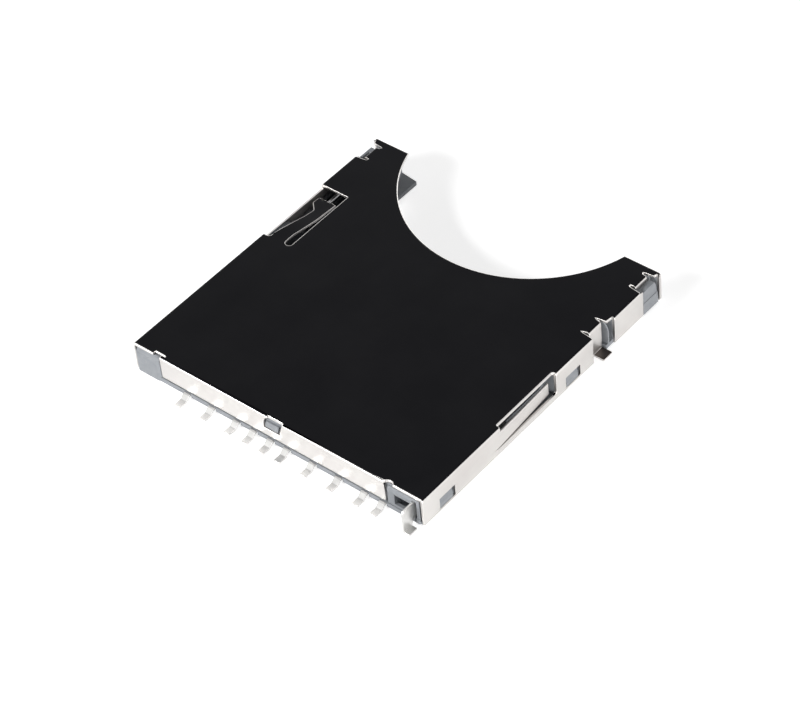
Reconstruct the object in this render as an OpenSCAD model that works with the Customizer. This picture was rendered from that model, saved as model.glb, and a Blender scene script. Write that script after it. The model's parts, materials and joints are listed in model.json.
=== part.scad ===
// Push-push socket for a full-size memory card, soldered to a board.
// Millimetres. The board is the plane z = 0, the card goes in along +Y with its label up,
// and the origin is at the middle of the shell's footprint.

/* [Card] */
// Width of the card
card_w = 24; // [23:0.1:25]
// Thickness of the card
card_t = 2.1; // [1.9:0.05:2.4]
// Thickness of the card along its two long edges
card_edge_t = 1.4; // [1.2:0.05:1.6]
// Width of those thin edges
card_edge_w = 0.75; // [0.5:0.05:1]
// Side play of the card, each side
card_gap = 0.1; // [0.05:0.05:0.3]
// Height play of the card
card_play = 0.05; // [0.05:0.05:0.2]
// Length of the card's cut-off corner
card_corner = 4; // [3:0.1:4.5]
// Full stroke of the card, from ejected to pressed home
travel = 6; // [4.5:0.1:7]
// How far short of the full stroke the card is held
hold_back = 0.7; // [0.4:0.1:1]

/* [Shell] */
// Length of the shell, mouth edge to back of the rear wall
shell_l = 29.1; // [27:0.1:34]
// Thickness of the sheet
sheet_t = 0.2; // [0.15:0.05:0.25]
// Inner radius of the folds
fold_in = 0.05; // [0.05:0.05:0.2]
// Gap between the board and the lower edge of the side walls
wall_lift = 0.1; // [0.05:0.05:0.3]
// Gap between the board and the lower edge of the rear wall
rear_lift = 0.62; // [0.5:0.02:0.8]
// Radius of the finger cut-out
arc_r = 11.2; // [9:0.1:12]
// Distance of the cut-out's centre outside the mouth edge
arc_set = 3.1; // [2:0.1:4]
// Width of the slots beside each folded tab
relief_w = 0.22; // [0.15:0.01:0.3]
// Distance of the plate's corners ahead of the rear wall's back
corner_set = 0.05; // [0:0.05:0.2]
// End of the rear wall, from the right side of the shell
rear_end_right = 2.75; // [2.4:0.05:3.5]
// End of the rear wall, from the left side of the shell
rear_end_left = 3.55; // [3.2:0.05:4.5]
// Width of the notch in the middle of the rear wall
rear_notch_w = 1.82; // [1:0.05:3]
// Height of the sill below that notch, above the board
rear_notch_z = 1.35; // [1.1:0.05:1.6]
// How far that notch reaches into the plate, from the back of the wall
rear_notch_in = 0.15; // [0.1:0.05:0.2]

/* [Leaf spring over the pull rod] */
// Distance of the window from the mouth edge
leaf_from = 6.92; // [6:0.1:8]
// Length of the window
leaf_window_l = 7.05; // [6.8:0.05:8]
// Left edge of the window, from the right side of the shell
leaf_window_in = 2.78; // [2.6:0.02:3]
// Length of the leaf
leaf_l = 6.27; // [5.8:0.05:6.4]
// Width of the slot on the leaf's left
leaf_slot_w = 0.63; // [0.4:0.01:0.65]
// Width of the leaf at its root
leaf_root_w = 1.45; // [1.2:0.05:1.5]
// Width of the leaf at its waist
leaf_waist_w = 1.05; // [0.9:0.05:1.2]
// Width of the leaf's head
leaf_head_w = 1.75; // [1.5:0.05:1.8]
// Length of the leaf's head
leaf_head_l = 0.8; // [0.5:0.05:1]
// Length of the leaf's level stretch at its root
leaf_flat = 1.2; // [0.8:0.05:1.6]
// Fall of the leaf along its steep stretch
leaf_drop = 0.46; // [0.4:0.01:0.48]

/* [Side finger of the left wall] */
// Distance of the finger's tip from the mouth edge
finger_from = 13.83; // [12.8:0.1:14.8]
// Length of the finger
finger_l = 6.75; // [6:0.05:7.5]
// Gap between the finger's tip and the end of its window
finger_gap = 0.5; // [0.3:0.05:0.6]
// Height of its window's lower edge above the board
finger_z = 0.69; // [0.6:0.01:0.8]
// Slit below the finger, at its root
finger_slit = 0.06; // [0.04:0.01:0.1]
// Width of the finger at its tip
finger_tip_w = 1.15; // [0.8:0.05:1.3]
// Width of the finger at its root
finger_root_w = 1.42; // [1.3:0.02:1.5]
// How far the tip is bent inwards
finger_in = 0.35; // [0.2:0.05:0.5]
// Depth of the room behind it, from the side of the shell
finger_room = 1.35; // [1.1:0.05:1.4]

/* [Latch windows in the walls] */
// Lower edge of each latch window above the board
latch_z = 0.34; // [0.2:0.02:0.4]
// Height of each latch window
latch_h = 1; // [0.8:0.02:1.2]
// Width of the front latch window of the left wall
latch_front_w = 1.75; // [1.2:0.05:2]
// Distance of that window from the mouth edge
latch_front_from = 10.4; // [9.8:0.1:11]
// Width of the rear latch windows
latch_rear_w = 1.8; // [1.4:0.05:2]
// Width of the right wall's window beside the pivot block
latch_right_w = 1.2; // [1:0.05:1.4]
// Distance of the rear latch windows from the back
latch_rear_from = 1.88; // [1.85:0.01:2.4]
// Open part of each window, at its mouth end
latch_gap = 0.28; // [0.15:0.01:0.4]

/* [Tabs near the mouth] */
// Distance of the mouth notches from the mouth edge
notch_from = 0.6; // [0.5:0.05:1]
// Length of the mouth notches
notch_l = 2.05; // [1.8:0.05:2.4]
// How much nearer the mouth the notches lie in the side walls
notch_shift = 0.3; // [0.2:0.05:0.4]
// Depth of the notches, from the side of the shell
notch_in = 1.1; // [1:0.05:1.3]
// Outer face of each mouth tab, from the side of the shell
mouth_tab_in = 0.7; // [0.6:0.05:0.8]
// Height of the mouth tabs' lower edge
mouth_tab_z = 1.95; // [1.7:0.05:2.1]
// Distance of the left foot's tab from the mouth edge
foot_tab_from = 6.93; // [6.5:0.01:7.2]
// Length of that tab
foot_tab_l = 1.55; // [1.3:0.05:1.8]
// Gap in the side wall ahead of that tab
foot_gap = 0.88; // [0.7:0.02:1]
// Outer face of that tab, from the side of the shell
foot_tab_in = 0.55; // [0.5:0.05:0.7]
// Depth of the room behind that tab, from the side of the shell
foot_room = 1.5; // [1.2:0.05:1.6]
// Reach of both feet beyond the side of the shell
foot_out = 0.45; // [0.3:0.05:0.8]
// Distance of the right foot from the mouth edge
right_foot_from = 4.75; // [4.6:0.05:5.2]
// Length of the right foot
right_foot_l = 1.2; // [0.8:0.05:1.4]

/* [Housing] */
// Width of the housing each side of the card slot
side_w = 1.9; // [1.85:0.05:2.4]
// Thickness of the floor
floor_t = 0.4; // [0.35:0.05:0.5]
// Clearance between pieces that only lie together
fit = 0.03; // [0.02:0.01:0.05]
// Distance of the housing's front from the mouth edge
front_set = 0.1; // [0.05:0.05:0.3]
// Width of the floor strips beside the mouth cut-out
ledge_w = 2.2; // [1.8:0.05:2.6]
// Front edge of the floor, from the mouth edge
floor_from = 9.4; // [9:0.1:10]
// Corner radius of the floor's cut-out
floor_r = 1.5; // [0.5:0.1:2]
// Thickness of the rear bar, behind the card slot
bar_t = 1.55; // [1.4:0.05:1.8]
// Length of the block that holds the rod's pivot
pivot_block_l = 4.35; // [4.2:0.05:4.6]
// Gap between the housing's rear corners and the side walls
corner_gap = 0.18; // [0.05:0.01:0.2]
// Reach of the rear right corner behind the rear wall
corner_out = 0.1; // [0:0.05:0.2]
// Chamfer along its upper rear edge
corner_chamfer = 0.35; // [0.2:0.05:0.5]
// Reach of the sill behind the rear wall
sill_out = 0.04; // [0:0.02:0.1]
// Height of the undercut along the lower rear edge
heel_h = 0.14; // [0.1:0.02:0.2]
// Depth of the draft recess in the rear left corner
pocket_d = 1.3; // [0.8:0.05:1.4]

/* [Contacts] */
// Distance between contacts
pitch = 2.5; // [2.4:0.05:2.5]
// Place of contact 9, right of the middle
first_x = 8.8; // [8.7:0.05:8.9]
// Distance from contact 7 to contact 8
last_pitch = 1.7; // [1.6:0.05:1.8]
// Width of the contacts
contact_w = 0.6; // [0.5:0.05:0.7]
// Thickness of the contacts
contact_t = 0.15; // [0.1:0.01:0.18]
// Height of the contact points above the board
crown_z = 1.25; // [1.15:0.05:1.4]
// Distance of the contact points ahead of the rear bar
crown_set = 3.9; // [3.4:0.1:4.4]
// Extra reach of contact 9, which meets the card's cut corner
crown_extra = 1.2; // [0.8:0.1:1.4]
// Reach of the solder tails behind the shell
tail_out = 1.3; // [1:0.05:1.8]
// Length of the flat foot of each tail
tail_flat = 0.65; // [0.4:0.05:0.8]
// Place of contact 3's tail, right of the middle
tail_3_x = 2.1; // [2.05:0.05:2.2]
// Place of the card switch and its tail
switch_x = 0.4; // [0.35:0.05:0.45]
// Height of the card switch's tip above the board
switch_z = 1.75; // [1.5:0.05:2]
// Distance of its foot ahead of the rear bar
switch_set = 0.45; // [0.4:0.05:0.8]
// How far its tip leans towards the mouth
switch_lean = 0.3; // [0.2:0.05:0.5]
// Radius of its bend
switch_r = 0.3; // [0.2:0.05:0.4]

/* [Write-protect spring] */
// Distance of the blade from the card slot's left side
blade_in = 1.18; // [1.1:0.01:1.25]
// Height of the blade's upper edge at the rear
blade_top = 2.17; // [1.9:0.01:2.3]
// Width of the long arm
blade_w = 0.7; // [0.5:0.05:0.8]
// Distance of the arm's contact bump from the rear bar
blade_bump_set = 10.3; // [9.5:0.1:11]
// Reach of the foot to the left of the blade
blade_foot = 0.52; // [0.4:0.02:0.8]

/* [Slider and pull rod] */
// Running clearance of the slider
run = 0.05; // [0.03:0.01:0.08]
// Radius of the rod's wire
rod_r = 0.15; // [0.12:0.01:0.18]
// Clearance of the rod in its pivot hole
rod_play = 0.04; // [0.02:0.01:0.08]
// Distance of the rod's pivot from the mouth edge
pivot_from = 1.95; // [1.7:0.05:2.2]
// Sideways swing of the rod's tip
swing = 0.6; // [0.5:0.05:0.65]
// Depth of the heart-shaped track
track_d = 0.6; // [0.5:0.05:0.7]
// Width of the track
track_w = 0.46; // [0.42:0.01:0.5]
// Height of the cam block above the board
cam_z = 1.55; // [1.5:0.05:1.6]
// Reach of the slider's arm over the card slot
arm_reach = 2.4; // [2:0.1:3]
// Reach of the rod's tip below the middle of its wire
rod_tip_d = 0.55; // [0.4:0.05:0.6]
// Reach of the rod's pivot end below the middle of its wire
rod_pivot_d = 1.1; // [0.8:0.05:1.2]

/* [Card lock spring] */
// Thickness of the leaf
lock_t = 0.1; // [0.08:0.01:0.12]
// Height of the leaf
lock_w = 0.6; // [0.4:0.05:0.7]
// How far the bump enters the card slot
lock_reach = 0.45; // [0.3:0.05:0.6]
// Reach of the leaf into its seat in the slider
lock_seat_l = 1.75; // [1.2:0.05:1.8]
// Length of the flat top of the bump
lock_flat = 0.2; // [0.1:0.05:0.4]
// Length of the slope behind the bump
lock_ramp = 1.9; // [1.5:0.05:2]

/* [Eject spring] */
// Outer diameter of the coil
coil_d = 1.3; // [1.1:0.05:1.35]
// Diameter of the wire
wire_d = 0.2; // [0.16:0.02:0.24]
// Number of turns
coil_turns = 16; // [10:1:18]

/* [Hidden] */
$fn = 48;
lap = 0.05;                                  // overlap that joins two shapes of one piece
far = 5;                                     // reach of a cut beyond what it cuts

// Widths
slot_x = card_w / 2 + card_gap;              // half width of the card slot
in_x = slot_x + side_w;                      // inner face of the shell's side walls
hw = in_x + sheet_t;                         // outer face of the shell's side walls
fold_r = fold_in + sheet_t;                  // outer radius of the folds
plate_x = hw - fold_r;                       // where the side folds begin
body_x = in_x - fit;                         // outer face of the housing
corner_x = in_x - corner_gap;                // outer face of its rear corners

// Lengths
hl = shell_l / 2;                            // back of the rear wall
corner_y = hl - corner_set;                  // rear edge of the plate's corners
front_y = -hl + front_set;                   // front of the housing
bar_back = hl - sheet_t - fit;               // back of the rear bar, against the rear wall
bar_y = bar_back - bar_t;                    // front of the rear bar
rear_left = -hw + rear_end_left;             // left end of the rear wall
rear_right = hw - rear_end_right;            // right end of the rear wall
sill_z = rear_lift - fit;                    // top of the ledge below the rear wall

// Heights
under_z = floor_t + card_t + card_play;      // underside of the top plate
top_z = under_z + sheet_t;                   // top of the shell
plate_z = top_z - sheet_t / 2;               // middle of the top plate's thickness
guide_z = floor_t + card_t - card_edge_t;    // top of the card guides
guide_x = card_w / 2 - card_edge_w;          // inner side of the card guides
body_z = under_z - fit;                      // top of the housing

// Mechanism
block_y = front_y + pivot_block_l;           // back of the pivot block
slider_y = block_y + run;                    // front of the slider, ejected
pin_y = slider_y + travel + 0.5;             // rod tip in the track, ejected
shoulder_y = pin_y + track_w / 2 + 0.65;     // where the spring pushes the slider
slider_end = bar_y - travel - run;           // back of the slider, ejected
arm_y = slider_end - card_corner;            // front of the slider's arm, at the card's cut corner
channel_x = (slot_x + in_x) / 2;             // middle of the slider's channel
slider_w = side_w - 2 * run;                 // width of the slider
pivot_y = -hl + pivot_from;
rod_z = cam_z + run + rod_r;                 // height of the rod's middle
rod_l = pin_y - pivot_y;                     // reach of the rod
rod_off = -swing / 6;                        // sideways place of the rod's tip, ejected
rod_tip_x = channel_x + rod_off;
coil_r = (coil_d - wire_d) / 2;
coil_z = floor_t + 0.07 + coil_d / 2;        // height of the coil's middle
cover_z = coil_z + coil_d / 2 + 0.08;        // underside of the slider's cover
cover_top = under_z - 0.14;                  // top of the slider's cover
shoulder_z = cover_top - 0.26;               // top of its shoulder, below the leaf
peg_r = coil_r - wire_d / 2 - 0.08;          // radius of the pegs inside the coil
arm_x = slot_x - arm_reach;                  // inner side of the slider's arm

// Card lock spring
lock_x = slot_x + run + lock_t / 2 + 0.02;   // middle of the leaf's thickness
lock_z = guide_z + 0.1;                      // lower edge of the leaf
lock_y = shoulder_y + 0.25;                  // free end of the leaf
lock_bump = lock_y + lock_reach + lock_flat; // back of the bump's flat top

// Contact arms, numbered 1 to 9: place of the arm and of its tail
function arm_place(n) =
    n == 9 ? first_x :
    n == 8 ? first_x - 7 * pitch - last_pitch :
    first_x - n * pitch;
function tail_place(n) = n == 3 ? tail_3_x : arm_place(n);
neck_z = 0.42;                               // height at which the tails leave the housing

// Outlines and sheets

function unit(v) = v / norm(v);
function turned(v) = [-v.y, v.x];
function step(p, i) = unit(p[i + 1] - p[i]);
function mitre(p, i) =
    i == 0 ? turned(step(p, 0)) :
    i == len(p) - 1 ? turned(step(p, i - 1)) :
    let (a = turned(step(p, i - 1)), m = unit(a + turned(step(p, i)))) m / (m * a);

// Points along an arc about c, from angle a to angle b
function arc(c, r, a, b, n = 6) =
    [for (i = [0 : n]) c + r * [cos(a + (b - a) * i / n), sin(a + (b - a) * i / n)]];

// Strip of thickness t along the points p
module ribbon(p, t)
    polygon(concat(
        [for (i = [0 : len(p) - 1]) p[i] + mitre(p, i) * t / 2],
        [for (i = [len(p) - 1 : -1 : 0]) p[i] - mitre(p, i) * t / 2]));

module rect(a, b) translate(a) square(b - a);
module box(a, b) translate(a) cube(b - a);

// An (y, z) outline, t thick from x0
module upright(x0, t) translate([x0, 0, 0]) rotate([90, 0, 90]) linear_extrude(t) children();

// An (x, z) outline, from y0 to y1
module across(y0, y1)
    translate([0, y1, 0]) rotate([90, 0, 0]) linear_extrude(y1 - y0) children();

// A quarter of a fold about the origin, in the first quadrant
module fold()
    intersection() {
        difference() {
            circle(fold_r);
            circle(fold_in);
        }
        square(fold_r);
    }

// Shell

module plate_outline()
    difference() {
        union() {
            rect([-plate_x, -hl], [plate_x, hl - fold_r]);
            rect([-plate_x, 0], [rear_left, corner_y]);
            rect([rear_right + 0.65, 0], [plate_x, corner_y]);
        }
        translate([0, -hl - arc_set]) circle(arc_r);
        // round relief at the left end of the rear fold, straight one at the right end
        translate([rear_left - 0.42, hl + 0.15]) circle(0.42);
        rect([rear_right - 0.4, hl - fold_r - 0.1], [rear_right + 0.65, hl - fold_r + lap]);
    }

// Fold and wall of the right side, as an (x, z) outline
module side_section() {
    translate([plate_x, top_z - fold_r]) fold();
    rect([in_x, wall_lift], [hw, top_z - fold_r]);
}

// Fold and wall of the rear, as a (y, z) outline
module rear_section() {
    translate([hl - fold_r, top_z - fold_r]) fold();
    rect([hl - sheet_t, rear_lift], [hl, top_z - fold_r]);
}

leaf_y = -hl + leaf_from;                    // mouth end of the leaf's window
leaf_x = hw - leaf_window_in;                // left edge of that window
leaf_root = leaf_y + leaf_window_l;          // root of the leaf
leaf_tip = leaf_root - leaf_l;
finger_tip = -hl + finger_from;
finger_root = finger_tip + finger_l;
notch_y = -hl + notch_from;                  // mouth end of the notches in the plate
side_notch_y = notch_y - notch_shift;        // mouth end of the notches in the side walls
side_notch_end = side_notch_y + notch_l;
foot_y = -hl + foot_tab_from;
foot_gap_y = foot_y - foot_gap;              // mouth end of the gap at the left foot
foot_end_y = foot_y + foot_tab_l + relief_w; // rear end of that gap
right_foot_y = -hl + right_foot_from;
latch_front_y = -hl + latch_front_from;
latch_rear_y = hl - latch_rear_from - latch_rear_w;
latch_right_y = block_y - latch_right_w - 0.15;

// Window of the leaf: a round-ended slot on its left, open over the fold on its right
module leaf_window() {
    r = leaf_slot_w / 2;
    right = leaf_x + leaf_slot_w + leaf_root_w + r;
    rect([leaf_x, leaf_y], [hw + far, leaf_root - r]);
    translate([leaf_x + r, leaf_root - r]) circle(r);
    translate([right, leaf_root - r]) circle(r);
    rect([right, leaf_root - r - lap], [hw + far, leaf_root]);
}

// Opening in the plate round a folded tab, with a round-ended slot on each side of it
module tab_opening(x0, y0, y1)
    translate([0, 0, under_z - lap]) linear_extrude(far) {
        rect([x0, y0], [hw + far, y1]);
        for (y = [y0 + relief_w / 2, y1 - relief_w / 2]) translate([x0, y]) circle(relief_w / 2);
    }

// Window of the side finger, as a (y, z) outline; the fold ends ahead of the slit below the finger
module finger_window() {
    y0 = finger_tip - finger_gap;
    r = 0.3;
    fold_end = finger_root - 0.55;
    root_z = finger_z + finger_slit + finger_root_w;
    polygon(concat(arc([y0 + r, finger_z + r], r, 180, 270),
        [[finger_root, finger_z], [finger_root, root_z], [fold_end, root_z], [fold_end, far], [y0, far]]));
}

// Notch in the middle of the rear wall, as an (x, z) outline drawn in by d
module rear_notch(d = 0) {
    half = rear_notch_w / 2;
    z = rear_notch_z + d;
    polygon([[-half + 2 * d, top_z - d], [-half + 0.45 + d, z], [half + 0.09 - d, z],
        [half + 0.05 - d, 2.05 - d], [half - 0.1 - d, 2.35 - d], [half - 0.36 - d, 2.6 - d],
        [half - 0.36 - d, top_z - d]]);
}

// A rectangular window through both faces of the right wall; mirrored for the left
module wall_window(y0, w) box([in_x - lap, y0, latch_z], [hw + far, y0 + w, latch_z + latch_h]);

module shell_cuts() {
    // window of the leaf, over the fold and into the top of the wall
    translate([0, 0, top_z - 0.42]) linear_extrude(far) leaf_window();
    // mouth notches
    for (s = [0, 1]) mirror([s, 0, 0]) {
        tab_opening(hw - notch_in, notch_y, notch_y + notch_l);
        box([plate_x, side_notch_y, -far], [hw + far, side_notch_y + notch_l, top_z + far]);
    }
    // gap round the left foot
    mirror([1, 0, 0]) tab_opening(hw - notch_in, foot_y - relief_w, foot_end_y);
    box([-hw - far, foot_gap_y, -far], [-plate_x, foot_end_y, top_z + far]);
    intersection() {
        upright(-hw - far, far + hw) finger_window();
        linear_extrude(far)
            polygon(concat([[-hw - far, finger_root], [-hw - far, finger_tip - finger_gap]],
                arc([-plate_x - 0.15, finger_tip - finger_gap + 0.2], 0.2, -90, 0),
                [[-plate_x + lap, finger_root]]));
    }
    // latch windows
    mirror([1, 0, 0]) wall_window(latch_front_y, latch_front_w);
    for (s = [0, 1]) mirror([s, 0, 0]) wall_window(latch_rear_y, latch_rear_w);
    wall_window(latch_right_y, latch_right_w);
    // notch in the middle of the rear wall, less deep in the plate
    intersection() {
        across(hl - sheet_t - lap, hl + far) rear_notch();
        linear_extrude(top_z - fold_r) rect([-hw, 0], [hw, hl + far]);
    }
    across(hl - rear_notch_in, hl + far) intersection() {
        rear_notch();
        rect([-hw, top_z - fold_r - lap], [hw, top_z]);
    }
    // room around the right foot
    box([in_x - lap, right_foot_y - relief_w, -far],
        [hw + far, right_foot_y + right_foot_l + relief_w, latch_z + 0.3]);
}

// Leaf that presses the pull rod down, with a wider head over the rod
module leaf() {
    x0 = leaf_x + leaf_slot_w;
    head_x = x0 + leaf_head_w;
    waist_x = x0 + leaf_waist_w;
    head_y = leaf_tip + leaf_head_l;
    bend_y = leaf_root - leaf_flat;
    knee_y = bend_y - 2.6;
    tip_z = rod_z + rod_r + fit + sheet_t / 2;
    intersection() {
        linear_extrude(top_z + lap)
            polygon([[x0, leaf_tip], [head_x - 0.1, leaf_tip], [head_x, leaf_tip + 0.1], [head_x, head_y],
                [waist_x, head_y + head_x - waist_x], [x0 + leaf_root_w, leaf_root + lap],
                [x0, leaf_root + lap]]);
        upright(leaf_x, leaf_window_in)
            ribbon([[leaf_root + lap, plate_z], [bend_y, plate_z], [knee_y, plate_z - leaf_drop],
                [leaf_tip, tip_z]], sheet_t);
    }
}

// Tapered finger of the left wall, bent inwards towards its tip
module side_finger() {
    wall_x = -hw + sheet_t / 2;
    root_z = finger_z + finger_slit;
    tip_z = root_z + finger_slit;
    intersection() {
        upright(-hw - lap, far)
            polygon([[finger_root + lap, root_z], [finger_tip, tip_z],
                [finger_tip, tip_z + finger_tip_w], [finger_root + lap, root_z + finger_root_w]]);
        linear_extrude(top_z)
            ribbon([[wall_x, finger_root + lap], [wall_x, finger_root - 0.3],
                [wall_x + finger_in, finger_tip - lap]], sheet_t);
    }
}

// Tab folded down from the plate, its outer face at x and its lower edge at z1
module down_tab(x, y0, y1, z1) {
    r = fold_r - sheet_t / 2;
    across(y0, y1)
        ribbon(concat([[hw - notch_in - lap, plate_z]],
            arc([x - sheet_t / 2 - r, plate_z - r], r, 90, 0),
            [[x - sheet_t / 2, z1]]), sheet_t);
}

// Foot at the board, bent outwards from a wall whose outer face is at x
module out_foot(x, y0, y1, z1) {
    r = fold_r - sheet_t / 2;
    across(y0, y1)
        ribbon(concat([[x - sheet_t / 2, z1]],
            arc([x - sheet_t / 2 + r, sheet_t / 2 + r], r, 180, 270),
            [[hw + foot_out, sheet_t / 2]]), sheet_t);
}

module shell() {
    tab_slot = relief_w + lap;
    foot_x = hw - foot_tab_in;
    difference() {
        union() {
            color([0.1, 0.1, 0.1]) translate([0, 0, under_z]) linear_extrude(sheet_t) plate_outline();
            color([0.9, 0.89, 0.86]) {
                for (s = [0, 1]) mirror([s, 0, 0]) across(-hl, corner_y) side_section();
                upright(rear_left, rear_right - rear_left) rear_section();
            }
        }
        shell_cuts();
    }
    color([0.1, 0.1, 0.1]) leaf();
    color([0.9, 0.89, 0.86]) {
        side_finger();
        for (s = [0, 1]) mirror([s, 0, 0])
            down_tab(hw - mouth_tab_in, notch_y + tab_slot, notch_y + notch_l - tab_slot, mouth_tab_z);
        mirror([1, 0, 0]) {
            down_tab(foot_x, foot_y, foot_y + foot_tab_l, 1);
            out_foot(foot_x, foot_y + 0.07, foot_y + foot_tab_l - 0.38, 1 + lap);
        }
        out_foot(hw, right_foot_y, right_foot_y + right_foot_l, latch_z + 0.3 + lap);
    }
}

// Housing

lead = 0.35;                                 // lead-in at the mouth of the card guides
slot_gap = 0.12;                             // gap each side of a contact arm in the floor

module floor_outline()
    difference() {
        rect([-body_x, front_y], [body_x, corner_y]);
        // open towards the mouth, with round inner corners
        mouth_x = slot_x - ledge_w;
        rect([-mouth_x, -hl - far], [mouth_x, -hl + floor_from - floor_r]);
        rect([-mouth_x + floor_r, -hl - far], [mouth_x - floor_r, -hl + floor_from]);
        for (s = [0, 1]) mirror([s, 0]) {
            translate([mouth_x - floor_r, -hl + floor_from - floor_r]) circle(floor_r);
            polygon([[slot_x, front_y - lap], [mouth_x - lap, front_y - lap],
                [mouth_x - lap, front_y + 0.25]]);
        }
    }

// Left rail, rear bar and the block of the rod's pivot, above the floor
module frame_outline() {
    rect([-corner_x, bar_y], [corner_x, bar_back]);
    rect([-body_x, front_y], [-slot_x, bar_y + lap]);
    rect([slot_x, front_y], [body_x, block_y]);
}

// Rear corners: the left one rounded beside the wall's end, the right one chamfered behind the plate
module rear_corners() {
    r = 0.4;
    end = rear_left - corner_gap;
    top = body_z - 0.08;
    across(bar_back - lap, corner_y)
        polygon(concat([[-corner_x, 0], [-corner_x, top]], arc([end - r, top - r], r, 90, 0),
            [[end, 0]]));
    x = rear_right + fit;
    back = hl + corner_out;
    difference() {
        upright(x, corner_x - x)
            polygon([[bar_y, 0], [back, 0], [back, body_z - corner_chamfer],
                [back - corner_chamfer, body_z], [bar_y, body_z]]);
        translate([0, 0, -lap]) linear_extrude(far)
            polygon([[x - lap, hl - 0.02], [x + corner_chamfer, back + 0.01], [x - lap, back + lap]]);
    }
}

// Card guide of the right side, with a slanted lead-in; mirrored for the left
module guide_outline(y1)
    polygon([[guide_x + lead, front_y], [slot_x + lap, front_y], [slot_x + lap, y1],
        [guide_x, y1], [guide_x, front_y + 2 * lead]]);

// Wedge in a latch window of the left wall, level with the wall along its lower edge
module left_boss(y0, w) {
    top = latch_z + latch_h - fit;
    across(y0 + latch_gap, y0 + w - fit)
        polygon([[-in_x + 0.2, floor_t - lap], [-body_x, floor_t - lap], [-body_x, latch_z + fit],
            [-hw + 0.02, latch_z + fit], [-hw + 0.02, latch_z + 0.4], [-hw + 0.13, top],
            [-in_x + 0.2, top]]);
}

// Room beside that wedge
module left_boss_room(y0)
    box([-hw, y0, latch_z], [-in_x + 0.6, y0 + latch_gap, latch_z + latch_h]);

pad_z = 2.16;                                // top of the pad in the rear wall's notch
notch_block_z = 1.24;                        // step of the blocks that fill the mouth notches
notch_top_z = 2.35;                          // top of those blocks

// Block in the right wall's notch near the mouth, as a (y, z) outline
module notch_block_outline()
    polygon([[side_notch_y + 0.12, wall_lift], [side_notch_end - fit, wall_lift],
        [side_notch_end - fit, notch_top_z], [side_notch_y + 0.5, notch_top_z],
        [side_notch_y + 0.34, 2.05], [side_notch_y + 0.21, notch_block_z]]);

// That block, stepped inwards at half its height; mirrored for the left
module notch_block() {
    upright(body_x - lap, sheet_t + lap) intersection() {
        notch_block_outline();
        rect([-hl, 0], [0, notch_block_z]);
    }
    upright(body_x - lap, sheet_t - 0.07 + lap) notch_block_outline();
}

// Room for the right tab in that notch, and for the gap ahead of the block; mirrored for the left
module notch_room() {
    inner = hw - notch_in - relief_w / 2;
    box([inner, notch_y, mouth_tab_z - fit],
        [hw - mouth_tab_in + 0.05, notch_y + notch_l, body_z + far]);
    box([inner, side_notch_y, notch_top_z], [hw, side_notch_end - fit, body_z + far]);
    upright(hw - 0.9, 0.9) difference() {
        rect([side_notch_y, floor_t], [side_notch_y + 0.6, body_z + far]);
        notch_block_outline();
    }
}

// Room for the left foot's tab, with a rib ahead of the tab
module foot_room_left() {
    difference() {
        box([-hw - far, foot_gap_y, floor_t], [-hw + foot_room, foot_end_y, body_z + far]);
        across(foot_y - 0.45, foot_y - 0.3)
            polygon([[-hw + 0.1, 0], [-hw + 0.1, 1.2], [-hw + 0.35, 2], [-hw + 0.7, body_z - 0.05],
                [-hw + foot_room + lap, body_z - 0.05], [-hw + foot_room + lap, 0]]);
    }
    box([-hw - far, foot_y - fit, -lap], [-hw + foot_tab_in + sheet_t + fit, foot_end_y, floor_t + lap]);
}

module contact_slots() {
    gap = contact_w / 2 + slot_gap;
    for (n = [1 : 9]) {
        tip = bar_y - crown_set - 1.2 - (n == 9 ? crown_extra : 0);
        box([arm_place(n) - gap, tip - 0.4, -lap], [arm_place(n) + gap, bar_y, crown_z + 0.3]);
    }
    box([switch_x - gap, bar_y - switch_set - switch_lean - 0.55, -lap],
        [switch_x + gap, bar_y, floor_t + lap]);
}

// Passages of the contacts through the rear bar, open at the bottom as moulded
module bar_slots() {
    gap = contact_w / 2 + fit;
    top = neck_z + contact_t / 2 + fit;
    for (n = [1 : 9]) {
        low = min(arm_place(n), tail_place(n)) - gap;
        high = max(arm_place(n), tail_place(n)) + gap;
        box([arm_place(n) - gap, bar_y - lap, -lap], [arm_place(n) + gap, bar_y + 1, top]);
        box([low, bar_y + 0.5, -lap], [high, bar_y + 1, top]);
        box([tail_place(n) - gap, bar_y + 0.5, -lap], [tail_place(n) + gap, hl + far, top]);
    }
    box([switch_x - gap, bar_y - lap, -lap], [switch_x + gap, hl + far, top]);
}

blade_t = contact_t;
blade_cx = -slot_x - blade_in;               // middle of the blade's thickness
bump_y = bar_y - blade_bump_set;             // contact bump of the write-protect spring
blade_z = floor_t + 0.75;                    // lower edge of the long arm

// Channel of the write-protect spring along the left rail, and its opening to the card
module blade_channel() {
    half = blade_t / 2 + fit;
    box([blade_cx - half, bar_y - 1, 0.3], [blade_cx + half, hl + far, blade_top + fit]);
    box([blade_cx - half - 0.15, bar_back, 0.3], [blade_cx + lap, hl + far, blade_top + fit]);
    box([blade_cx - 0.25, bump_y - 2.2, blade_z - 0.15], [blade_cx + 0.25, bar_y - 1 + lap, body_z + far]);
    box([blade_cx - 0.25, bump_y - 1.6, blade_z - 0.15], [-slot_x + lap, bump_y + 1.6, body_z + far]);
}

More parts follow.
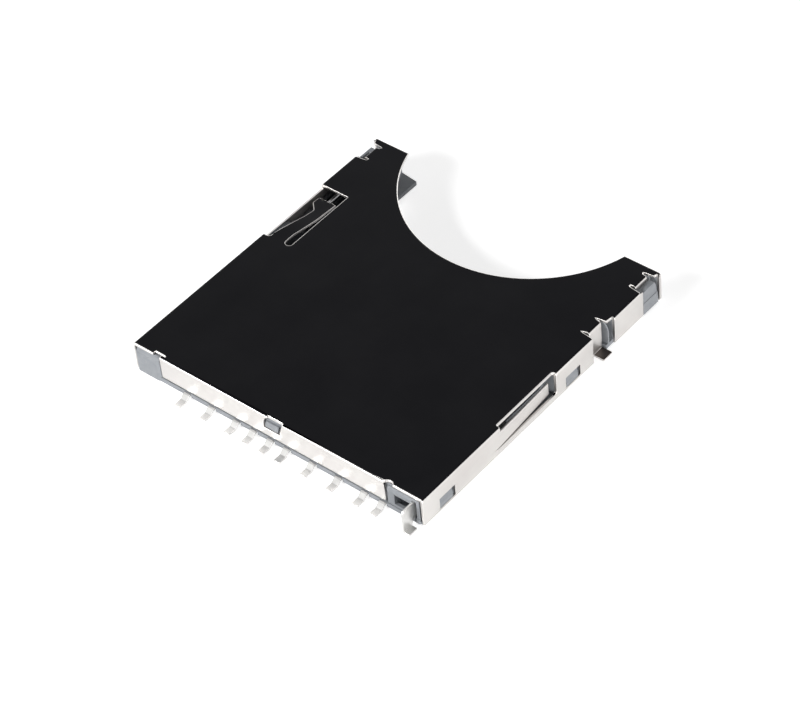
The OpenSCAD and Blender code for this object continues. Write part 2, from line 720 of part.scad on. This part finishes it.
module housing_cuts() {
    contact_slots();
    bar_slots();
    blade_channel();
    foot_room_left();
    for (s = [0, 1]) mirror([s, 0, 0]) {
        notch_room();
        // the card guides slope down towards the mouth
        upright(guide_x - lap, slot_x - guide_x + lap)
            polygon([[front_y - lap, floor_t + 0.3], [front_y + 1.1, guide_z],
                [front_y + 1.1, far], [front_y - lap, far]]);
    }
    for (y = [latch_front_y, latch_rear_y]) left_boss_room(y);
    mirror([1, 0, 0]) left_boss_room(latch_right_y);
    // room behind the side finger
    box([-hw - far, finger_tip - finger_gap, floor_t], [-hw + finger_room, finger_root, body_z + far]);
    // the rod lies over the pivot block
    box([slot_x + 0.15, pivot_y - 0.6, cam_z], [in_x - 0.15, block_y + lap, body_z + far]);
    // foot of the shell's right side
    box([in_x - 0.3, right_foot_y - relief_w, -lap],
        [hw + far, right_foot_y + right_foot_l + relief_w, latch_z + 0.3]);
    // draft recess in the rear left corner, deeper behind its sill
    box([-hw + 1.1, corner_y - pocket_d, 0.77], [-hw + 2.7, corner_y + far, 1.75]);
    box([-hw + 1.1, corner_y - pocket_d, 0.3], [-hw + 2.7, corner_y - 0.3, 1]);
    // undercut along the lower rear edge
    box([-hw, hl - 0.25, -lap], [hw, hl + far, heel_h]);
}

module housing()
    color([0.6, 0.64, 0.7]) {
        difference() {
            union() {
                linear_extrude(floor_t) floor_outline();
                linear_extrude(sill_z) rect([-corner_x, bar_y], [corner_x, hl + sill_out]);
                linear_extrude(body_z) frame_outline();
                rear_corners();
                linear_extrude(guide_z) {
                    guide_outline(arm_y - 0.3);
                    mirror([1, 0]) guide_outline(bar_y + lap);
                }
                for (s = [0, 1]) mirror([s, 0, 0]) notch_block();
                // pad in the rear wall's notch
                across(bar_back - lap, hl - 0.03) intersection() {
                    rear_notch(0.13);
                    rect([-hw, 0], [hw, pad_z]);
                }
                left_boss(latch_front_y, latch_front_w);
                left_boss(latch_rear_y, latch_rear_w);
                mirror([1, 0, 0]) {
                    left_boss(latch_rear_y, latch_rear_w);
                    left_boss(latch_right_y, latch_right_w);
                }
            }
            housing_cuts();
            translate([channel_x, pivot_y, rod_z - rod_pivot_d - 0.2])
                cylinder(h = far, r = rod_r + rod_play);
        }
        // peg that centres the eject spring on the rear bar
        translate([channel_x, bar_y + lap, coil_z]) rotate([90, 0, 0]) cylinder(h = 0.5, r = peg_r);
    }

// Contacts

// Centre line of contact n, as (y, z) points from its tip to its tail
function contact_line(n) =
    let (crown = bar_y - crown_set - (n == 9 ? crown_extra : 0),
        foot_z = contact_t / 2,
        end = hl + tail_out)
    concat([[crown - 1, crown_z - 0.55]],
        arc([crown, crown_z - contact_t / 2 - 0.5], 0.5, 135, 75, 4),
        [[bar_y - 0.6, neck_z], [hl + 0.05, neck_z]],
        [[hl + 0.2, neck_z - 0.03], [end - tail_flat - 0.12, foot_z + 0.03],
            [end - tail_flat, foot_z], [end, foot_z]]);

module contact(n)
    color([0.82, 0.82, 0.8])
        if (arm_place(n) == tail_place(n))
            upright(arm_place(n) - contact_w / 2, contact_w) ribbon(contact_line(n), contact_t);
        else {
            line = contact_line(n);
            join_y = bar_y + 0.75;
            intersection() {
                upright(arm_place(n) - contact_w / 2, contact_w) ribbon(line, contact_t);
                box([-hw, -hl, 0], [hw, join_y + 0.1, top_z]);
            }
            intersection() {
                upright(tail_place(n) - contact_w / 2, contact_w) ribbon(line, contact_t);
                box([-hw, join_y - 0.1, 0], [hw, hl + far, top_z]);
            }
            box([min(arm_place(n), tail_place(n)) - contact_w / 2, join_y - 0.2, neck_z - contact_t / 2],
                [max(arm_place(n), tail_place(n)) + contact_w / 2, join_y + 0.2, neck_z + contact_t / 2]);
        }

// Leaf that the card's front edge pushes back, which closes the card switch
module card_detect_spring() {
    end = hl + tail_out;
    foot_z = contact_t / 2;
    y = bar_y - switch_set;
    bend_z = neck_z + switch_r;
    color([0.82, 0.82, 0.8])
        upright(switch_x - contact_w / 2, contact_w)
            ribbon(concat([[y - switch_lean, switch_z], [y, bend_z]],
                arc([y + switch_r, bend_z], switch_r, 190, 270),
                [[hl + 0.05, neck_z], [hl + 0.2, neck_z - 0.03],
                    [end - tail_flat - 0.12, foot_z + 0.03], [end - tail_flat, foot_z], [end, foot_z]]),
                contact_t);
}

// Blade along the left rail; its bump meets the card's write-protect tab
module write_protect_spring()
    color([0.85, 0.85, 0.83]) {
        end = hl + tail_out;
        arm_back = bar_y - 0.3;
        // the arm, seen from above
        translate([0, 0, blade_z]) linear_extrude(blade_w)
            ribbon([[blade_cx, arm_back], [blade_cx, bump_y + 1.4], [-slot_x + 0.3, bump_y + 0.15],
                [-slot_x + 0.3, bump_y - 0.15], [-slot_x - 0.4, bump_y - 1.2]], blade_t);
        // the blade, seen from the side
        upright(blade_cx - blade_t / 2, blade_t)
            polygon(concat([[arm_back - lap, blade_z], [arm_back - lap, blade_z + blade_w],
                    [bar_y + 0.2, blade_z + blade_w], [bar_y + 0.7, blade_top]],
                arc([end - 0.4, blade_top - 0.35], 0.35, 90, 0),
                [[end - 0.05, 0], [end - 0.95, 0], [hl + 0.1, 0.5], [hl - 0.3, 0.5],
                    [bar_y + 0.3, blade_z]]));
        // the foot, bent to the left at the board
        across(end - 0.9, end - 0.05)
            rect([blade_cx - blade_t / 2 - blade_foot, 0], [blade_cx + blade_t / 2, contact_t]);
    }

// Slider

// Straight stretch of the track between two points, with round ends
module lane(a, b) {
    way = b - a;
    for (p = [a, b]) translate(p) circle(track_w / 2);
    translate(a) rotate(atan2(way.y, way.x)) translate([0, -track_w / 2]) square([norm(way), track_w]);
}

// Track of the rod's tip, seen from above: out along the right, held at the notch, back on the left
module track_outline() {
    start = [rod_tip_x, pin_y];
    top_right = [rod_tip_x + swing, pin_y - travel];
    held = [channel_x + 0.05, pin_y - travel + hold_back];
    top_left = [channel_x - 0.52, pin_y - travel + 0.15];
    low_left = [channel_x - 0.52, pin_y - 1.5];
    lane(start, top_right);
    lane(top_right, held);
    lane(held, top_left);
    lane(top_left, low_left);
    lane(low_left, start);
}

module slider() {
    left = channel_x - slider_w / 2;
    color([0.32, 0.34, 0.38]) {
        difference() {
            union() {
                // cam block, shoulder and cover, with a slope below the shell's leaf
                upright(left, slider_w)
                    polygon([[slider_y, floor_t + run], [shoulder_y, floor_t + run], [shoulder_y, cover_z],
                        [slider_end, cover_z], [slider_end, cover_top], [shoulder_y + 0.8, cover_top],
                        [shoulder_y - 0.6, shoulder_z], [shoulder_y - 0.6, cam_z], [slider_y, cam_z]]);
                // arm, cut at 45 degrees to meet the card's corner
                translate([0, 0, floor_t + run + 0.05]) linear_extrude(cover_top - floor_t - run - 0.05)
                    polygon([[slot_x + 0.2, arm_y], [slot_x - run, arm_y],
                        [arm_x, arm_y + slot_x - run - arm_x], [arm_x, slider_end],
                        [slot_x + 0.2, slider_end]]);
            }
            translate([0, 0, cam_z - track_d]) linear_extrude(track_d + lap) track_outline();
            // seat of the card lock spring
            box([lock_x - lock_t / 2 - run, arm_y - lap, lock_z - run],
                [slot_x + 0.2 + lap, arm_y + lock_seat_l + run, lock_z + lock_w + run]);
        }
        translate([channel_x, shoulder_y - lap, coil_z]) rotate([-90, 0, 0]) cylinder(h = 1.2, r = peg_r);
    }
}

// Leaf on the slider that drops into the notch in the card's edge
module card_lock_spring()
    color([0.82, 0.82, 0.8])
        translate([0, 0, lock_z]) linear_extrude(lock_w)
            ribbon([[lock_x, arm_y + lock_seat_l], [lock_x, lock_bump + lock_ramp],
                [slot_x - lock_reach, lock_bump], [slot_x - lock_reach + 0.1, lock_bump - lock_flat],
                [lock_x, lock_y]], lock_t);

module pull_rod()
    color([0.8, 0.8, 0.8]) {
        angle = atan2(-rod_off, rod_l);
        translate([channel_x, pivot_y, rod_z]) rotate([0, 0, angle]) {
            reach = norm([rod_off, rod_l]);
            rotate([-90, 0, 0]) cylinder(h = reach, r = rod_r);
            sphere(rod_r);
            translate([0, reach, 0]) sphere(rod_r);
            translate([0, 0, -rod_pivot_d]) cylinder(h = rod_pivot_d, r = rod_r);
            translate([0, reach, -rod_tip_d]) cylinder(h = rod_tip_d, r = rod_r);
        }
    }

// Eject spring: a round wire wound about the channel's middle, as rings of points

coil_from = shoulder_y + wire_d / 2 + 0.02;
coil_to = bar_y - wire_d / 2 - 0.02;
ring_steps = 12;                             // rings in one turn
ring_sides = 6;
function coil_point(i, k) =
    let (n = coil_turns * ring_steps,
        a = 360 * i / ring_steps,
        b = 360 * k / ring_sides,
        r = coil_r + wire_d / 2 * cos(b))
    [channel_x + r * cos(a), coil_from + (coil_to - coil_from) * i / n + wire_d / 2 * sin(b),
        coil_z + r * sin(a)];

module eject_spring() {
    n = coil_turns * ring_steps;
    s = ring_sides;
    color([0.78, 0.78, 0.78])
        polyhedron(
            points = [for (i = [0 : n], k = [0 : s - 1]) coil_point(i, k)],
            faces = concat(
                [[for (k = [0 : s - 1]) k]],
                [for (i = [0 : n - 1], k = [0 : s - 1])
                    [i * s + k, (i + 1) * s + k, (i + 1) * s + (k + 1) % s, i * s + (k + 1) % s]],
                [[for (k = [s - 1 : -1 : 0]) n * s + k]]));
}

shell();
housing();
contact(1);  // contact_1
contact(2);  // contact_2
contact(3);  // contact_3
contact(4);  // contact_4
contact(5);  // contact_5
contact(6);  // contact_6
contact(7);  // contact_7
contact(8);  // contact_8
contact(9);  // contact_9
card_detect_spring();
write_protect_spring();
slider();
card_lock_spring();
pull_rod();
eject_spring();
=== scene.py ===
"""Looks of a push-push memory card socket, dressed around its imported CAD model.

Metres, in the model's own frame: the board is z = 0, the card goes in along +Y with its label
up, and +X is the right side, seen from the mouth. Every CAD node is shown by a copy of its mesh
with rounded edges and its own material. Only the eject spring gets a new mesh, a smooth coil.
"""

import json
import math

import bmesh
import bpy
from mathutils import Matrix, Vector

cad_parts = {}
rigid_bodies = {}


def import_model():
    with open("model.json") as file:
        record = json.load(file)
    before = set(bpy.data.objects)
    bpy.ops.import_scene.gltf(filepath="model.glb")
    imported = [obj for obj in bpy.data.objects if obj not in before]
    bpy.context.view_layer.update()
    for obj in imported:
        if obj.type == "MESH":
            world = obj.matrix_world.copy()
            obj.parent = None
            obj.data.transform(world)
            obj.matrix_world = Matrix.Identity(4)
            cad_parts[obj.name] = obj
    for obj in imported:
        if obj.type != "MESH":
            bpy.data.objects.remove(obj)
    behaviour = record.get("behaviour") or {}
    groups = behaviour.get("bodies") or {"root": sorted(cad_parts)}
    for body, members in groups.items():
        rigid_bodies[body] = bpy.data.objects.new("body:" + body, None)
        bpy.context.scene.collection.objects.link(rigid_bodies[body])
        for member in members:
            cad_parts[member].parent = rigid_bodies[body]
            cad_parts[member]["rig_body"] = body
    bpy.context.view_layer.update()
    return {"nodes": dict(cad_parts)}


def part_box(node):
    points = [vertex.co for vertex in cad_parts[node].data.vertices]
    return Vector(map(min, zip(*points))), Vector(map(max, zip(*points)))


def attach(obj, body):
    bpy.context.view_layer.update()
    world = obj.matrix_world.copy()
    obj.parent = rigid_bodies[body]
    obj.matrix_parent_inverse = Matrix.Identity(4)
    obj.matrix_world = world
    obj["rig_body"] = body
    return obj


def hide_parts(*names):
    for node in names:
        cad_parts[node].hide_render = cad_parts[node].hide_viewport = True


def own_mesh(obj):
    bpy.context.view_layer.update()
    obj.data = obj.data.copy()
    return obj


MM = 0.001
IMAGE_W = 800  # width of the photograph, in pixels

# Copies of the CAD meshes
SAME = 0.0005 * MM  # points this close are one
SHORT = 0.022 * MM  # lines this short leave a rounding no room
FLAT = math.radians(0.4)  # faces that turn less than this are one face
SHARP = math.radians(32)  # the least turn between two faces that is an edge, not a curve
CROWDED = 4  # with this many sharp edges at a point, none of them is rounded there
TINY = 0.3  # a face with less area than this share of its outline times a rounding is tiny

# The shell's sheet and its three looks, as places in its list of materials: the sheet's own bright
# steel, a painted dark reflection where it looks up, and a darker painted reflection on the feet
SHEET = 0.2 * MM
FEET_BELOW = 0.3 * MM
BRIGHT, PAINTED_DARK_REFLECTION, FEET_PAINTED_DARK = range(3)

# Light
AMBIENT = 0.12  # the studio as a light; where it is seen it is white
FLOOR_HALF = 3.0
FLOOR_Z = -0.01 * MM  # clear of the feet, which end at 0
FLOOR_GLOW = 0.7  # added to the floor where it is seen
LAMP_REACH = 0.7
LAMP_SIZE = (0.4, 0.12)

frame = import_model()


# Shader helpers


class Shader:
    """A material with a Principled shader, and short ways to add nodes to it."""

    def __init__(self, name, color, roughness, metallic=0.0):
        self.material = bpy.data.materials.new(name)
        self.material.use_nodes = True
        self.tree = self.material.node_tree
        self.bsdf = self.tree.nodes["Principled BSDF"]
        self.bsdf.inputs["Base Color"].default_value = (*color, 1)
        self.bsdf.inputs["Roughness"].default_value = roughness
        self.bsdf.inputs["Metallic"].default_value = metallic
        self.color = color
        self.roughness = roughness
        self.place = self.add("ShaderNodeTexCoord").outputs["Object"]

    def add(self, kind, **settings):
        """A new node; settings are its properties, or its sockets' values or links."""
        node = self.tree.nodes.new(kind)
        for key, value in settings.items():
            if key in node.inputs:
                self.feed(node.inputs[key], value)
            else:
                setattr(node, key, value)
        return node

    def feed(self, socket, value):
        """Links a socket to another one, or sets it to a constant."""
        if isinstance(value, bpy.types.NodeSocket):
            self.tree.links.new(value, socket)
        else:
            socket.default_value = value

    def noise(self, scale, detail):
        """Noise with grains of 1 / scale metres; scale is one number, or one for each axis."""
        scales = scale if isinstance(scale, tuple) else (scale,) * 3
        stretched = self.add("ShaderNodeMapping", Vector=self.place, Scale=scales)
        node = self.add("ShaderNodeTexNoise", Vector=stretched.outputs["Vector"], Detail=detail,
                        Scale=1.0)
        return node.outputs["Fac"]

    def spread(self, value, low, high):
        """The middle range of a noise, from 0.3 to 0.7, as low to high, held beyond them."""
        node = self.add("ShaderNodeMapRange", Value=value)
        for socket, number in (("From Min", 0.3), ("From Max", 0.7),
                               ("To Min", low), ("To Max", high)):
            node.inputs[socket].default_value = number
        return node.outputs["Result"]

    def tint(self, noise, other):
        """Base colour that goes between the plain one and other with noise."""
        node = self.add("ShaderNodeMix", data_type="RGBA")
        self.feed(node.inputs["Factor"], self.spread(noise, 0.0, 1.0))
        node.inputs["A"].default_value = (*self.color, 1)
        node.inputs["B"].default_value = (*other, 1)
        self.feed(self.bsdf.inputs["Base Color"], node.outputs["Result"])

    def rough(self, noise, swing):
        """Roughness that swings about the plain one with noise."""
        low, high = self.roughness - swing, self.roughness + swing
        self.feed(self.bsdf.inputs["Roughness"], self.spread(noise, low, high))

    def bump(self, height, distance):
        """Relief of distance metres from a height of 0 to 1."""
        node = self.add("ShaderNodeBump", Height=height, Distance=distance, Strength=1.0)
        self.feed(self.bsdf.inputs["Normal"], node.outputs["Normal"])


# Materials


def dark_reflection_painted_steel():
    """Up-facing sheet of the shell: near-black colour, a painted reflection of a dark studio over
    bright steel, with a rolling grain.
    """
    # Painted reflection: the near-black base colour stands for a dark studio mirrored in the
    # bright steel.
    s = Shader("dark_reflection_painted_steel", (0.0085, 0.0085, 0.0098), 0.1, metallic=1.0)
    s.tint(s.noise(260.0, 3.0), (0.0105, 0.0105, 0.0118))
    s.rough(s.noise((900.0, 60.0, 900.0), 5.0), 0.02)
    s.bump(s.noise((9000.0, 300.0, 9000.0), 3.0), 0.4e-6)
    return s.material


def bright_steel():
    """Walls, folds and cut edges of the shell: the same sheet, where it mirrors a white table."""
    s = Shader("bright_steel", (0.66, 0.645, 0.625), 0.38, metallic=1.0)
    s.tint(s.noise(380.0, 3.0), (0.625, 0.6, 0.585))
    s.rough(s.noise((400.0, 400.0, 2400.0), 4.0), 0.05)
    s.bump(s.noise((700.0, 700.0, 9000.0), 3.0), 0.6e-6)
    return s.material


def foot_painted_dark_reflection():
    """Tops of the shell's feet: dark brownish colour, a painted reflection of a dark studio in
    their up-facing steel.
    """
    # Painted reflection: the dark brownish base colour stands for a dark studio seen in the feet's
    # tops.
    s = Shader("foot_painted_dark_reflection", (0.13, 0.115, 0.105), 0.3, metallic=1.0)
    s.tint(s.noise(900.0, 3.0), (0.085, 0.07, 0.065))
    s.rough(s.noise(2000.0, 4.0), 0.06)
    s.bump(s.noise(4000.0, 3.0), 1e-6)
    return s.material


def moulded_plastic():
    """Glass-filled blue-grey plastic of the housing."""
    s = Shader("moulded_plastic", (0.25, 0.263, 0.284), 0.46)
    s.tint(s.noise(1500.0, 6.0), (0.302, 0.316, 0.334))
    s.rough(s.noise(2500.0, 3.0), 0.07)
    s.bump(s.noise(9000.0, 4.0), 4e-6)
    s.bsdf.inputs["Specular IOR Level"].default_value = 0.2
    return s.material


def dark_plastic():
    """Slippery dark plastic of the slider."""
    s = Shader("dark_plastic", (0.03, 0.033, 0.038), 0.4)
    s.tint(s.noise(1800.0, 5.0), (0.042, 0.046, 0.053))
    s.rough(s.noise(2500.0, 3.0), 0.06)
    s.bump(s.noise(8000.0, 4.0), 4e-6)
    s.bsdf.inputs["Specular IOR Level"].default_value = 0.2
    return s.material


def tin_plating(name, color):
    """Contacts and tails: rolled strip, satin where the tin is thick."""
    s = Shader(name, color, 0.36, metallic=1.0)
    s.tint(s.noise(1400.0, 4.0), tuple(0.88 * c for c in color))
    s.rough(s.noise(3000.0, 4.0), 0.07)
    s.bump(s.noise((12000.0, 900.0, 12000.0), 3.0), 1.5e-6)
    return s.material


def wire_painted_shade():
    """Steel wire of the pull rod and the eject spring, its base colour darkened as painted shade
    for the rod lying in shade under the shell.
    """
    # Painted shade: the base colour is darker than bare steel wire.
    s = Shader("wire_painted_shade", (0.42, 0.42, 0.43), 0.26, metallic=1.0)
    s.tint(s.noise(2500.0, 3.0), (0.34, 0.34, 0.35))
    s.rough(s.noise(4000.0, 3.0), 0.06)
    s.bump(s.noise(15000.0, 2.0), 1e-6)
    return s.material


# Pieces


def add_object(name, data):
    item = bpy.data.objects.new(name, data)
    bpy.context.scene.collection.objects.link(item)
    return item


def outwardness(edge, low, high):
    """How far the two faces of an edge look away from the middle of the box from low to high."""
    middle = (edge.verts[0].co + edge.verts[1].co) / 2
    normal = (edge.link_faces[0].normal + edge.link_faces[1].normal).normalized()
    place = [(2 * at - a - b) / (b - a) for at, a, b in zip(middle, low, high)]
    return normal.dot(Vector(place))


def mark_roundings(bm, rounding, least, box):
    """Gives each edge the share of the rounding that it gets.

    A sharp edge gets the more the more it looks out of the box, and at least the share least,
    as the far side of a fold or of punched sheet is sharper. Edges at a crowded point and
    around a tiny face stay sharp, because a rounding has no room there.
    """
    weight = bm.edges.layers.float.new("bevel_weight_edge")
    sharp = {edge for edge in bm.edges if edge.calc_face_angle(0) > SHARP}
    for edge in sharp:
        if all(len(sharp.intersection(point.link_edges)) < CROWDED for point in edge.verts):
            edge[weight] = min(max(outwardness(edge, *box), least), 1)
    for face in bm.faces:
        tiny = face.calc_area() < TINY * rounding * face.calc_perimeter()
        if tiny and sharp.issuperset(face.edges):
            for edge in face.edges:
                edge[weight] = 0


def round_edges(piece, rounding):
    """Rounds the marked edges with the first material, and shades flat faces as flat."""
    bevel = piece.modifiers.new("rounded_edges", "BEVEL")
    bevel.width = rounding
    bevel.segments = 2
    bevel.limit_method = "WEIGHT"
    bevel.harden_normals = True
    bevel.material = 0
    bevel.use_clamp_overlap = False
    bevel.miter_outer = "MITER_ARC"
    shading = piece.modifiers.new("flat_faces_stay_flat", "WEIGHTED_NORMAL")
    shading.weight = 100
    shading.keep_sharp = True


def add_copy(node, materials, rounding, look_of_face=None, shortest=SAME, least=1.0):
    """A copy of a CAD node with its flat faces joined and its edges rounded by rounding metres.

    The face picker gives a face's place in materials, and the rounded edges have the first of
    them; on the shell and the strips it picks painted reflections for faces that look up.
    Lines of the mesh under shortest are drawn together, so that the rounding has room. An edge
    that looks into the node gets less rounding, down to the share least.
    """
    cad = frame["nodes"][node]
    bm = bmesh.new()
    bm.from_mesh(cad.data)
    bmesh.ops.remove_doubles(bm, verts=bm.verts, dist=SAME)
    bmesh.ops.dissolve_limit(bm, angle_limit=FLAT, verts=bm.verts, edges=bm.edges)
    bmesh.ops.dissolve_degenerate(bm, dist=shortest, edges=bm.edges)
    mark_roundings(bm, rounding, least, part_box(node))
    for face in bm.faces:
        face.smooth = True
        face.material_index = look_of_face(face) if look_of_face else 0
    mesh = bpy.data.meshes.new(node + "_look")
    bm.to_mesh(mesh)
    bm.free()
    mesh.set_sharp_from_angle(angle=SHARP)
    for material in materials:
        mesh.materials.append(material)
    piece = add_object(node + "_look", mesh)
    round_edges(piece, rounding)
    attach(piece, cad["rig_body"])
    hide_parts(node)


def shell_look_with_painted_reflection(face):
    """The look of the sheet on a face of the shell.

    It gets a painted dark reflection of a dark studio where it looks up, a darker painted
    reflection on a foot, and the sheet's own bright steel on walls and cut edges. A fold keeps the
    painted dark reflection until it gets steep, which on the +X wall is further down, because the
    photograph shows no bright line there.
    """
    # Faces that look up get a painted dark reflection, not a different finish of the sheet.
    steepest = 0.3 if face.normal.x > 0.1 else 0.7
    level = face.normal.z > 0.999
    cut_edge = level and 2 * face.calc_area() < SHEET * face.calc_perimeter()
    if cut_edge or face.normal.z < steepest:
        return BRIGHT
    return PAINTED_DARK_REFLECTION if face.calc_center_median().z > FEET_BELOW else FEET_PAINTED_DARK


def strip_look_with_painted_top(face):
    """1, tin painted darker as a reflection of a dark studio, where a strip looks straight up, and
    0 on its bends and sides.
    """
    return 1 if face.normal.z > 0.9 else 0


def add_shell():
    materials = [bright_steel(), dark_reflection_painted_steel(), foot_painted_dark_reflection()]
    add_copy("shell", materials, rounding=0.1 * MM, look_of_face=shell_look_with_painted_reflection,
             shortest=SHORT, least=0.25)


def coil_ring(centre, coil_r, wire_r, angle, sides):
    """Points of the wire's section where the coil has turned by angle about centre."""
    out = Vector((math.cos(angle), 0, math.sin(angle)))
    around = (math.tau * k / sides for k in range(sides))
    return [centre + out * coil_r + out * wire_r * math.cos(a)
            + Vector((0, wire_r * math.sin(a), 0)) for a in around]


def add_eject_spring():
    """A round wire coil in the box of the CAD coil."""
    low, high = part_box("eject_spring")
    wire_r = 0.1 * MM
    coil_r = (high.x - low.x) / 2 - wire_r
    centre = (low + high) / 2
    turns, steps, sides = 16, 36, 12
    start, length = low.y + wire_r, high.y - low.y - 2 * wire_r
    bm = bmesh.new()
    rings = []
    for i in range(turns * steps + 1):
        middle = Vector((centre.x, start + length * i / (turns * steps), centre.z))
        points = coil_ring(middle, coil_r, wire_r, math.tau * i / steps, sides)
        rings.append([bm.verts.new(point) for point in points])
    for a, b in zip(rings, rings[1:]):
        for k in range(sides):
            bm.faces.new((a[k], a[(k + 1) % sides], b[(k + 1) % sides], b[k]))
    bm.faces.new(rings[0][::-1])
    bm.faces.new(rings[-1])
    bmesh.ops.recalc_face_normals(bm, faces=bm.faces)
    for face in bm.faces:
        face.smooth = True
    mesh = bpy.data.meshes.new("eject_coil")
    bm.to_mesh(mesh)
    bm.free()
    mesh.materials.append(wire_painted_shade())
    piece = add_object("eject_coil", mesh)
    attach(piece, "frame")
    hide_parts("eject_spring")
    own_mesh(piece)


def add_pieces():
    add_shell()
    add_copy("housing", [moulded_plastic()], rounding=0.03 * MM,
             shortest=SHORT)
    # The second tin is the same tin painted darker, a painted reflection of a dark studio on faces
    # that look up.
    tin = [tin_plating("tin_plating", (0.7, 0.695, 0.68)),
           tin_plating("tin_painted_dark_top", (0.52, 0.52, 0.515))]
    contacts = [f"contact_{n}" for n in range(1, 10)]
    for node in contacts + ["card_detect_spring", "card_lock_spring"]:
        add_copy(node, tin, rounding=0.02 * MM, look_of_face=strip_look_with_painted_top)
    add_copy("write_protect_spring", tin[:1], rounding=0.02 * MM)
    add_copy("slider", [dark_plastic()], rounding=0.03 * MM)
    add_copy("pull_rod", [wire_painted_shade()], rounding=0.01 * MM)
    add_eject_spring()


# Stage


def toward(azimuth, elevation):
    """The direction at azimuth degrees from +X about Z, and elevation degrees up."""
    across, up = math.radians(azimuth), math.radians(elevation)
    return Vector((math.cos(across) * math.cos(up), math.sin(across) * math.cos(up),
                   math.sin(up)))


def add_camera():
    """The photograph's camera, fitted to the corners of the shell and to the solder tails."""
    back = toward(133.567, 44.015)
    roll = math.radians(-6.035)
    distance = 222.83 * MM
    target = Vector((-1.159, 1.431, 0)) * MM
    focal_px = 2921.5
    level = (-back).cross(Vector((0, 0, 1))).normalized()
    upright = level.cross(-back)
    right = level * math.cos(roll) + upright * math.sin(roll)
    up = upright * math.cos(roll) - level * math.sin(roll)
    data = bpy.data.cameras.new("camera")
    data.sensor_width = 36
    data.lens = data.sensor_width * focal_px / IMAGE_W
    data.clip_start = 0.01
    camera = add_object("camera", data)
    rotation = Matrix((right, up, back)).transposed().to_4x4()
    camera.matrix_world = Matrix.Translation(target + back * distance) @ rotation
    bpy.context.scene.camera = camera


def seen_rays(tree):
    """In a node tree, 1 for rays from the camera and those that metal and glass send on."""
    path = tree.nodes.new("ShaderNodeLightPath")
    total = path.outputs["Is Camera Ray"]
    for name in ("Is Glossy Ray", "Is Transmission Ray"):
        node = tree.nodes.new("ShaderNodeMath")
        node.operation = "ADD"
        node.use_clamp = True
        tree.links.new(total, node.inputs[0])
        tree.links.new(path.outputs[name], node.inputs[1])
        total = node.outputs[0]
    return total


def add_floor():
    """A pale floor that glows only where it is seen, so that it is white and keeps a shadow."""
    mesh = bpy.data.meshes.new("floor")
    corners = [(-1, -1), (1, -1), (1, 1), (-1, 1)]
    mesh.from_pydata([(FLOOR_HALF * x, FLOOR_HALF * y, FLOOR_Z) for x, y in corners],
                     [], [(0, 1, 2, 3)])
    floor = add_object("floor", mesh)
    s = Shader("floor", (0.82, 0.82, 0.82), 0.9)
    s.bsdf.inputs["Emission Color"].default_value = (1, 1, 1, 1)
    glow = s.add("ShaderNodeMath", operation="MULTIPLY")
    s.feed(glow.inputs[0], seen_rays(s.tree))
    s.feed(glow.inputs[1], FLOOR_GLOW)
    s.feed(s.bsdf.inputs["Emission Strength"], glow.outputs[0])
    mesh.materials.append(s.material)


def add_lamp(name, azimuth, elevation, level):
    """A low strip lamp at LAMP_REACH, which shows a white face turned to it at level."""
    data = bpy.data.lights.new(name, "AREA")
    data.shape = "RECTANGLE"
    data.size, data.size_y = LAMP_SIZE
    data.energy = level * (math.pi * LAMP_REACH) ** 2
    lamp = add_object(name, data)
    direction = toward(azimuth, elevation)
    lamp.location = direction * LAMP_REACH
    lamp.rotation_euler = (-direction).to_track_quat("-Z", "Y").to_euler()


def add_world():
    """White where it is seen, and weak as a light, so that the lamps shape the object."""
    world = bpy.data.worlds.new("studio")
    bpy.context.scene.world = world
    world.use_nodes = True
    tree = world.node_tree
    background = tree.nodes["Background"]
    background.inputs["Color"].default_value = (1, 1, 1, 1)
    strength = tree.nodes.new("ShaderNodeMapRange")
    strength.inputs["To Min"].default_value = AMBIENT
    strength.inputs["To Max"].default_value = 1.0
    tree.links.new(seen_rays(tree), strength.inputs["Value"])
    tree.links.new(strength.outputs["Result"], background.inputs["Strength"])


def add_stage():
    add_camera()
    add_world()
    add_floor()
    add_lamp("rear", azimuth=62, elevation=28, level=0.95)
    add_lamp("left", azimuth=162, elevation=6, level=0.86)
    add_lamp("mouth", azimuth=-90, elevation=15, level=0.2)
    bpy.context.scene.view_settings.view_transform = "Standard"


add_pieces()
add_stage()
